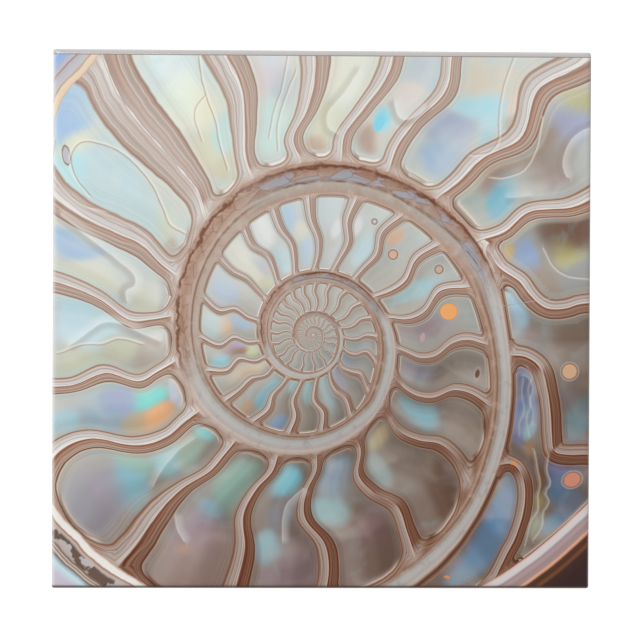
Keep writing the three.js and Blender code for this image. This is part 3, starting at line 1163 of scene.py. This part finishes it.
# %% Find the painted ridges
def paint_ridges(paint, spot):
    """Depth in units, how it faces the light, the wall's depth, and how much is wall edge."""
    wall_unit = paint.measure("wall_unit")
    wobble = (paint.noise(spot, 230, 2) - 0.5) * 0.45
    turns = paint.math("ARCTAN2", paint.measure("rib_sin"), paint.measure("rib_cos")) / (2 * math.pi)
    rib = turns * paint.measure("rib_pitch") / paint.measure("rib_half") * PROFILE_SPAN
    deep = paint.measure("wall_gap") / wall_unit + wobble
    wall_depth = deep + paint.measure("past_left") * FAR_OFF
    rounding = paint.measure("rounding")
    to_wall = paint.most(rounding - wall_depth, 0)
    depth = wall_depth
    most_flow = rounding + CORNER_FLOW
    kept = paint.least(to_wall, most_flow)
    squares = kept * kept
    lit = to_wall * paint.measure("wall_lit")
    total = to_wall
    nearest = 0
    ridges = [(rib, 1, paint.measure("rib_lit"))]
    for i, (half, _) in enumerate(SPURS):
        name = f"spur_{i}"
        spur = paint.measure(name) / half * PROFILE_SPAN
        ridges.append((spur, paint.measure(name + "_drawn"), paint.measure(name + "_lit")))
    for across, drawn, faces_light in ridges:
        ridge_depth = paint.math("ABSOLUTE", across) - PROFILE_SPAN + wobble
        ridge_depth = ridge_depth + (1 - drawn) * FAR_OFF
        towards = paint.most(rounding - ridge_depth, 0)
        kept = paint.least(towards, most_flow)
        squares = squares + kept * kept
        lit = lit + towards * paint.math("SIGN", across) * faces_light
        total = total + towards
        nearest = paint.most(towards, nearest)
        depth = paint.least(depth, ridge_depth)
    depth = paint.least(depth, rounding - paint.math("SQRT", squares))
    sway = (paint.noise(spot, 48, 1) - 0.5) * 1.6
    depth = depth + sway * paint.rise(depth, -0.2, -1.4) * paint.rise(depth, -2.6, -2.0)
    lit = lit / paint.most(total, 0.01)
    edge = paint.rise(to_wall - nearest, -2.6, 0.5)
    return depth, lit, deep, edge


# %% [markdown]
# ## The spiral wall's bands
# Between one whorl and the next runs the thick shell wall. In the print it is a polished
# band: a brown foot, a pale blue-grey ridge, and tan where it meets the next chambers. On
# the left it is worn, and above it breaks up into brown crust with a few slivers of blue
# pearl. Past the last whorl, the tile's corners show a few bands of the next wall.

# %% Paint the spiral wall and the corners past it
# share of the way across the wall, colour, cover
POLISHED_BAND = [
    (0, (150, 108, 86), 1), (0.08, (192, 162, 144), 1), (0.15, (142, 106, 86), 1),
    (0.2, (176, 154, 140), 1), (0.28, (172, 162, 153), 1), (0.34, (190, 189, 185), 1),
    (0.5, (199, 200, 198), 1), (0.62, (192, 190, 187), 1), (0.7, (196, 186, 178), 1),
    (0.76, (210, 200, 192), 1), (0.86, (200, 182, 170), 1), (0.93, (206, 190, 180), 1),
    (1, (166, 126, 106), 1)]
WORN_BAND = [
    (0, (176, 152, 138), 1), (0.1, (194, 178, 166), 1), (0.24, (188, 170, 156), 1),
    (0.3, (140, 108, 90), 1), (0.36, (196, 174, 160), 1), (0.5, (184, 156, 140), 1),
    (0.62, (178, 146, 128), 1), (0.8, (190, 162, 146), 1), (1, (168, 130, 110), 1)]
CRUSTED_BAND = [
    (0, (132, 92, 72), 1), (0.07, (184, 152, 134), 1), (0.2, (178, 164, 154), 1),
    (0.34, (182, 170, 160), 1), (0.42, (142, 118, 104), 1), (0.5, (172, 152, 140), 1),
    (0.62, (170, 142, 126), 1), (0.74, (156, 122, 104), 1), (0.8, (112, 74, 56), 1),
    (0.85, (182, 150, 132), 1), (1, (168, 134, 116), 1)]
# mm past the last roof, colour
PAST_LEFT = ((-1, (214, 210, 200)), (-0.6, (176, 180, 214)), (-0.2, (196, 186, 190)), (0, (190, 160, 140)),
             (0.3, (228, 206, 180)), (1.3, (234, 212, 188)), (1.6, (190, 166, 148)), (2.0, (200, 197, 200)),
             (3.4, (188, 186, 194)), (3.7, (170, 140, 122)), (4.0, (196, 192, 198)), (4.8, (170, 184, 214)),
             (6.2, (140, 184, 232)), (7.2, (186, 196, 214)), (8, (190, 160, 140)), (9, (170, 140, 120)))
PAST_FOOT = ((-1, (190, 160, 138)), (-0.5, (202, 160, 132)), (0.2, (196, 164, 144)), (0.5, (232, 228, 223)),
             (1.5, (236, 232, 228)), (1.8, (160, 116, 94)), (2.1, (196, 176, 162)), (2.8, (190, 186, 186)),
             (4.4, (184, 172, 166)), (4.9, (120, 94, 80)), (5.1, (208, 192, 180)), (5.4, (134, 106, 90)),
             (5.7, (212, 198, 188)), (6.1, (124, 98, 84)), (6.5, (160, 176, 182)), (7.2, (198, 224, 228)),
             (9, (200, 192, 206)))
PAST_RIGHT = ((-1, (190, 150, 130)), (0, (150, 104, 84)), (0.25, (214, 176, 164)), (0.6, (210, 204, 202)),
              (1.5, (206, 202, 202)), (1.9, (164, 142, 142)), (2.6, (176, 150, 154)), (3.2, (158, 136, 134)),
              (4.0, (170, 140, 134)), (4.3, (222, 172, 146)), (4.6, (200, 146, 118)), (4.9, (96, 60, 42)),
              (5.6, (80, 54, 40)), (6.3, (120, 76, 54)), (6.9, (70, 48, 38)), (9, (60, 44, 36)))
PAST_START, PAST_END = -1, 9


def paint_crust(paint, spot, band):
    """Breaks a band up into crust: tan rock, a ragged brown seam, a few blue-grey slivers."""
    bend = (paint.noise(spot, 500, 4) - 0.5) * 0.6
    along = paint.measure("clock") / 8 + bend
    out = paint.measure("wall_across") * 5 + bend
    place = paint.node("ShaderNodeCombineXYZ", {}, {"X": along, "Y": out})
    cells = {"Vector": place, "Scale": 1.0}
    crack = paint.node("ShaderNodeTexVoronoi", {"feature": "DISTANCE_TO_EDGE"}, cells)
    pick = paint.node("ShaderNodeTexVoronoi", {}, cells, out=1)
    shard = paint.node("ShaderNodeSeparateColor", {}, {"Color": pick})
    sliver = paint.rise(shard, 0.55, 0.59) * paint.measure("above")
    broken = paint.mix(sliver * 0.75, band, (160, 166, 178))
    broken = paint.veil(broken, shard, 0.12, 0.08, 0.45, (150, 108, 88))
    return paint.veil(broken, crack, 0.07, 0.01, 0.5, (140, 100, 80))


def paint_seam(paint, spot, across, band):
    """The crust's ragged reddish-brown seam, with crumbs beside it."""
    ragged = (paint.noise(spot, 380, 4) - 0.5) * 0.42
    off_seam = paint.math("ABSOLUTE", across - 0.79 + ragged)
    patchy = paint.rise(paint.noise(spot, 240, 2), 0.34, 0.5)
    seam = paint.rise(off_seam, 0.07, 0.02) * patchy
    crumbs = paint.rise(paint.noise(spot, 1000, 4), 0.53, 0.62) * paint.rise(off_seam, 0.26, 0.1)
    inner = paint.rise(paint.math("ABSOLUTE", across - 0.4 - ragged * 0.35), 0.035, 0.01)
    inner = inner * paint.rise(paint.noise(spot, 300, 2), 0.45, 0.6) * paint.measure("above")
    broken = paint.mix(crumbs * 0.55, band, (150, 104, 82))
    broken = paint.mix(inner * 0.7, broken, (128, 86, 66))
    return paint.mix(seam * 0.85, broken, (116, 72, 54))


def paint_wall(paint, spot):
    """The spiral wall's soft bands, broken up on its outer half above and on the left."""
    rough = (paint.noise(spot, 160, 3) - 0.5) * 0.07
    across = paint.measure("wall_across") + rough
    band, _ = paint.ramp(across, POLISHED_BAND)
    worn, _ = paint.ramp(across, WORN_BAND)
    crusted, _ = paint.ramp(across, CRUSTED_BAND)
    band = paint.mix(paint.measure("worn"), band, worn)
    band = paint.mix(paint.measure("above"), band, crusted)
    mottle = paint.noise(spot, 500, 3)
    band = paint.veil(band, mottle, 0.5, 0.7, 0.3, (214, 200, 190))
    band = paint.veil(band, mottle, 0.46, 0.3, 0.3, (160, 132, 116))
    band = paint.mix(paint.measure("crust"), band, paint_crust(paint, spot, band))
    dim = paint.rise(paint.measure("tone"), 0.6, 0.1) * 0.8
    band = paint.mix(dim, band, (222, 216, 214), "MULTIPLY")
    broken = paint.most(paint.measure("worn"), paint.measure("above"))
    return paint.mix(broken, band, paint_seam(paint, spot, across, band))


def paint_past(paint, spot, colour):
    """The corners past the last whorl, each with its own bands."""
    ripple = (paint.noise(spot, 120, 4) - 0.5) * (2.2 - 1.7 * paint.measure("past_right"))
    beyond = ripple - paint.measure("wall_gap")
    at = (beyond - PAST_START) / (PAST_END - PAST_START)
    past = paint.rise(beyond, 0, 0.15)
    for name, bands in (("past_left", PAST_LEFT), ("past_foot", PAST_FOOT), ("past_right", PAST_RIGHT)):
        stops = [((mm - PAST_START) / (PAST_END - PAST_START), tint, 1) for mm, tint in bands]
        ramp, _ = paint.ramp(at, stops)
        colour = paint.mix(paint.measure(name) * past, colour, ramp)
    chips = paint.rise(paint.noise(spot, 190, 3), 0.5, 0.54) * paint.rise(beyond, 2.2, 2.8)
    chips = chips * paint.rise(beyond, 4.9, 4.5) * paint.measure("past_foot")
    return paint.mix(chips, colour, (108, 88, 78))


# %% [markdown]
# ## Putting the print together
# The print is built from the back to the front: pearl, ridges, wall, corners, discs, folds.
# Last come the tile's edges, where the print stops and the bare glaze shows, with a painted
# highlight on the left edge and painted shade on the right and foot edges. Noise scales are
# counts for each metre, so 400 makes specks of about two and a half millimetres.

# %% Paint the pearl, the lines and the discs
GLAZE_VEIL = 0.024       # what the glaze's own reflection adds to the print under it
GLAZE_ROUGHNESS = 0.1


def paint_pearl(paint, spot):
    """The pearl: soft clouds with a gentle play of warm and cool."""
    pearl = paint.colour_of("pearl")
    cloud = paint.noise(spot, 90, 2, Distortion=0.6)
    pearl = paint.veil(pearl, cloud, 0.46, 0.72, 0.22, (230, 222, 212))
    cool = paint.noise(spot, 150, 2, Distortion=0.9)
    return paint.veil(pearl, cool, 0.5, 0.75, 0.16, (170, 200, 214))


def paint_line(paint, name, spot, colour):
    """Fine brown lines with a pale lip on their left."""
    jitter = (paint.noise(spot, 400, 2) - 0.5) * 0.3
    at = paint.measure(name) + jitter
    drawn = paint.measure(name + "_drawn")
    lip = paint.rise(at, 0.1, 0.3) * paint.rise(at, 0.75, 0.4)
    colour = paint.mix(lip * drawn * 0.5, colour, (240, 237, 228))
    line = paint.rise(paint.math("ABSOLUTE", at), 0.22, 0.06)
    return paint.mix(line * drawn * 0.6, colour, (180, 146, 122))


def paint_glow(paint, spot, colour):
    """Broad soft white folds with a brown-grey hollow on their right."""
    at = paint.measure("glow") + (paint.noise(spot, 150, 2) - 0.5) * 0.9
    drawn = paint.measure("glow_drawn")
    hollow = paint.rise(at, -2.2, -0.9) * paint.rise(at, -0.1, -0.6)
    colour = paint.mix(hollow * drawn * 0.3, colour, (146, 122, 108))
    lip = paint.rise(at, -0.35, 0.0) * paint.rise(at, 1.9, 0.2)
    colour = paint.mix(lip * drawn * 0.3, colour, (240, 240, 236))
    crest = paint.rise(paint.math("ABSOLUTE", at), 0.3, 0.05)
    return paint.mix(crest * drawn * 0.14, colour, (250, 248, 244))


def paint_discs(paint, colour):
    """Bubbles, chips and slivers: flat patches, some with a brown outline and a pale rim."""
    gap = paint.measure("disc")
    outline = paint.measure("disc_outline")
    rim = paint.rise(gap, 0.5, 0.3) * outline
    colour = paint.mix(rim * 0.3, colour, (214, 202, 192))
    colour = paint.mix(paint.rise(gap, 0.12, -0.12), colour, paint.colour_of("disc_paint"))
    line = paint.rise(paint.math("ABSOLUTE", gap), 0.22, 0.06)
    return paint.mix(line * outline * 0.7, colour, (132, 92, 72))


# %% [markdown]
# ## Light and shade in the print
# In a real cut shell, the chambers are hollow and the light falls in from one side. The print
# shows that with colour alone: shade beside the ridge that faces the light, a glow in the
# middle, and fine growth lines that follow the ridges. Every one of them is a thin veil.

# %% Colour the ridges and light the pearl
LAYER_STEPS, THREAD_STEPS, GROWTH_STEPS = 1.7, 4.5, 2.6   # lines for each unit of depth
SMALL_WHORLS = (36, 28)   # mm from the centre, between which the small whorls' own light begins


def colour_ridges(paint, spot, depth, lit, edge):
    """The ridges' colour, how much they cover, how they face the light, and a slow drift."""
    facing = paint.rise(lit, -0.3, 0.3)
    facing = facing + (paint.rise(lit, 0.4, 0.75) - facing) * edge
    along = (depth + PROFILE_SPAN) / (2 * PROFILE_SPAN)
    sides = []
    for ridge_stops, wall_stops in ((SHADED_RIDGE, SHADED_WALL), (BRIGHT_RIDGE, BRIGHT_WALL)):
        ridge, ridge_cover = paint.ramp(along, profile(ridge_stops))
        wall, wall_cover = paint.ramp(along, profile(wall_stops))
        sides.append((paint.mix(edge, ridge, wall), ridge_cover + (wall_cover - ridge_cover) * edge))
    (shaded, shaded_cover), (bright, bright_cover) = sides
    ridge = paint.mix(facing, shaded, bright)
    cover = shaded_cover + (bright_cover - shaded_cover) * facing
    drift = paint.noise(spot, 60, 1) * 4
    layer = paint.noise(depth * LAYER_STEPS + drift, 1.0, 3, "1D")
    ridge = paint.veil(ridge, layer, 0.54, 0.64, 0.25, (150, 116, 98))
    ridge = paint.veil(ridge, layer, 0.46, 0.36, 0.25, (236, 228, 222))
    thread = paint.noise(depth * THREAD_STEPS + drift, 1.0, 2, "1D")
    ridge = paint.veil(ridge, thread, 0.56, 0.62, 0.45, (142, 102, 82))
    ridge = paint.veil(ridge, thread, 0.44, 0.36, 0.3, (238, 232, 226))
    return ridge, cover, facing, drift


def light_pearl(paint, spot, depth, tone, drift):
    """The pearl with its hollow shaded, its fringe, its glow and its fine growth lines."""
    hollow = paint.measure("rib_sin")
    in_shade = paint.rise(hollow, 0.1, 1) * (1 - tone) * 0.5
    pearl = paint.mix(in_shade, paint_pearl(paint, spot), (190, 176, 168), "MULTIPLY")
    pearl = paint.veil(pearl, hollow, -0.1, -1, 0.12, (240, 240, 236))
    fringe = paint.rise(depth, 3.2, 0.6) * paint.rise(tone, 0.05, 0.5) * 0.26
    tint = paint.rise(paint.noise(spot, 45, 1), 0.42, 0.58)
    pearl = paint.mix(fringe, pearl, paint.mix(tint, (244, 236, 214), (196, 232, 236)))
    middle_glow = paint.rise(depth, 2, 7) * paint.rise(tone, 0.5, 0.8)
    pearl = paint.mix(middle_glow * 0.5, pearl, (246, 250, 250))
    small = paint.rise(paint.measure("radius"), *SMALL_WHORLS)
    small_glow = paint.rise(depth, 0.9, 3.4) * paint.rise(tone, 0.5, 0.66) * small
    pearl = paint.mix(small_glow * 0.6, pearl, (242, 243, 242))
    small_shade = paint.rise(tone, 0.52, 0.3) * paint.rise(depth, 5, 0.5) * small
    pearl = paint.mix(small_shade * 0.6, pearl, (190, 168, 154), "MULTIPLY")
    growth = paint.noise(depth * GROWTH_STEPS + drift, 1.0, 2, "1D")
    growth_share = paint.rise(depth, 3.6, 0.5) * 0.1
    pearl = paint.mix(paint.rise(growth, 0.52, 0.62) * growth_share, pearl, (150, 132, 122))
    return paint.mix(paint.rise(growth, 0.48, 0.38) * growth_share, pearl, (244, 244, 240))


def paint_edges_and_edge_light(paint, spot, colour):
    """The tile's edges: bare glaze at the top, a painted highlight on the left, painted shade at right and
    foot.
    """
    east = paint.node("ShaderNodeSeparateXYZ", {}, {"Vector": spot}, out=0) / MM
    north = paint.node("ShaderNodeSeparateXYZ", {}, {"Vector": spot}, out=1) / MM
    from_top = HALF / MM - north
    from_left = HALF / MM + east
    from_right = HALF / MM - east
    from_foot = HALF / MM + north
    # painted highlight on the rolled left edge, which faces the light
    colour = paint.veil(colour, from_left, 0.9, 0.2, 0.45, (222, 218, 216))
    # painted shade on the rolled right and foot edges, which face away from the light
    colour = paint.veil(colour, from_right, 0.5, 0.1, 0.6, (96, 84, 78))
    colour = paint.veil(colour, from_foot, 0.8, 0.4, 0.85, (66, 48, 38))
    bare = paint.rise(from_top, 1.08, 0.98)
    colour = paint.mix(paint.rise(from_top, 1.28, 1.12), colour, (150, 132, 122))
    return paint.mix(bare, colour, (186, 184, 182))


# %% [markdown]
# ## The layers in order
# A printer lays down one colour over another, and the order decides what shows. The shader
# does the same: each step takes the colour so far and gives back a new one.

# %% Paint the whole print
GLAZE_IOR = 1.5          # how strongly the glaze bends light


def paint_print():
    """The print under the glaze."""
    paint = Paint("glazed_print")
    spot = paint.node("ShaderNodeTexCoord", out=3)
    tone = paint.measure("tone")
    depth, lit, wall_depth, edge = paint_ridges(paint, spot)
    ridge, cover, facing, drift = colour_ridges(paint, spot, depth, lit, edge)
    pearl = light_pearl(paint, spot, depth, tone, drift)
    junction = paint.rise(wall_depth, 1.6, -0.3) * paint.rise(depth, -0.3, -1.2) * (1 - edge)
    ridge = paint.mix(junction * 0.55, ridge, (198, 182, 170))
    shade = paint.rise(tone, 0.55, 0.1) * (1 - facing * 0.4)
    ridge = paint.mix(shade, ridge, (192, 162, 146), "MULTIPLY")
    ridge = paint.veil(ridge, tone, 0.45, 0.95, 0.3, (214, 207, 200))
    outside = paint.rise(depth, 0.15, 0.35) * (1 - edge)
    cover = cover * (1 - outside * paint.rise(tone, 0.35, 0.8) * 0.75)
    colour = paint.mix(cover, pearl, ridge)
    colour = paint.veil(colour, tone, 0.45, 0.1, 0.45, (206, 190, 180), "MULTIPLY")
    deep_wall = paint.rise(-wall_depth, 0.5, 1.3)
    colour = paint.mix(deep_wall, colour, paint_wall(paint, spot))
    towards_centre = paint.rise(paint.measure("radius"), 34, 20)
    colour = paint.mix(towards_centre, colour, (244, 243, 243), "MULTIPLY")
    colour = paint_past(paint, spot, colour)
    colour = paint_glow(paint, spot, colour)
    colour = paint_discs(paint, colour)
    colour = paint_line(paint, "fold", spot, colour)
    colour = paint_line(paint, "crease", spot, colour)
    colour = paint_edges_and_edge_light(paint, spot, colour)
    veil = {0: colour, 1: (GLAZE_VEIL,) * 3}
    ink = paint.node("ShaderNodeVectorMath", {"operation": "SUBTRACT"}, veil)
    return paint.finish(Base_Color=ink, Roughness=GLAZE_ROUGHNESS, IOR=GLAZE_IOR)


print_material = paint_print()

# %% [markdown]
# ## The bare side and back
# Under the glaze a wall tile is biscuit: baked white clay, dull and faintly gritty. The side
# below the rolled edge and the whole back show it.

# %% Paint the biscuit
def paint_biscuit(name, light, dark, roughness):
    """Unglazed baked clay."""
    paint = Paint(name)
    spot = paint.node("ShaderNodeTexCoord", out=3)
    grain = paint.noise(spot, 900, 4)
    cloud = paint.noise(spot, 60, 3)
    colour = paint.mix(paint.rise(cloud * 0.6 + grain * 0.4, 0.35, 0.65), dark, light)
    bump = paint.node("ShaderNodeBump", {}, {"Strength": 0.25, "Distance": 0.0002, "Height": grain})
    return paint.finish(Base_Color=colour, Roughness=roughness, Normal=bump)


side_material = paint_biscuit("glazed_side", (236, 232, 224), (226, 220, 210), 0.3)
back_material = paint_biscuit("biscuit_back", (232, 226, 214), (214, 205, 190), 0.85)
for material in (print_material, side_material, back_material):
    tile_mesh.materials.append(material)

print("finishes:", [material.name for material in tile_mesh.materials])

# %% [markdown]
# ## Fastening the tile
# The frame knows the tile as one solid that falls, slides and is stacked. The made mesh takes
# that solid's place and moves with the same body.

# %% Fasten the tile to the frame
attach(tile, "root")
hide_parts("tile")
print(tile.name, "rides on root")

# %% [markdown]
# ## Soft studio light
# A white room lights the tile evenly, and one large soft lamp from the upper left makes the
# glaze's rolled edge bright on that side; the face's shader adds a painted highlight there too.

# %% Light the stage
SKY = 0.6                # brightness of the room
LAMP_POWER = 10.0        # watts, brings the light on the face up to a full white
LAMP_PLACE = (-0.5, 0.7, 0.9)
LAMP_SIZE = 0.8          # m
FLOOR_GREY = 0.3
FLOOR_GLOW = 0.85        # the floor's own light, which keeps it white
WHITE = (1, 1, 1, 1)
world = bpy.data.worlds.new("studio")
world.use_nodes = True
room = world.node_tree.nodes["Background"]
room.inputs["Color"].default_value = WHITE
room.inputs["Strength"].default_value = SKY
bpy.context.scene.world = world
lamp_data = bpy.data.lights.new("softbox", "AREA")
lamp_data.energy = LAMP_POWER
lamp_data.size = LAMP_SIZE
lamp = bpy.data.objects.new("softbox", lamp_data)
lamp.location = LAMP_PLACE
aim = Vector() - lamp.location
lamp.rotation_euler = aim.to_track_quat("-Z", "Y").to_euler()
bpy.context.collection.objects.link(lamp)
bpy.context.scene.view_settings.view_transform = "Standard"

floor_paint = Paint("white_floor")
floor_look = {"Base_Color": (*(FLOOR_GREY,) * 3, 1), "Roughness": 0.9}
floor_look.update(Emission_Strength=FLOOR_GLOW, Emission_Color=WHITE)
floor_mesh.materials.append(floor_paint.finish(**floor_look))
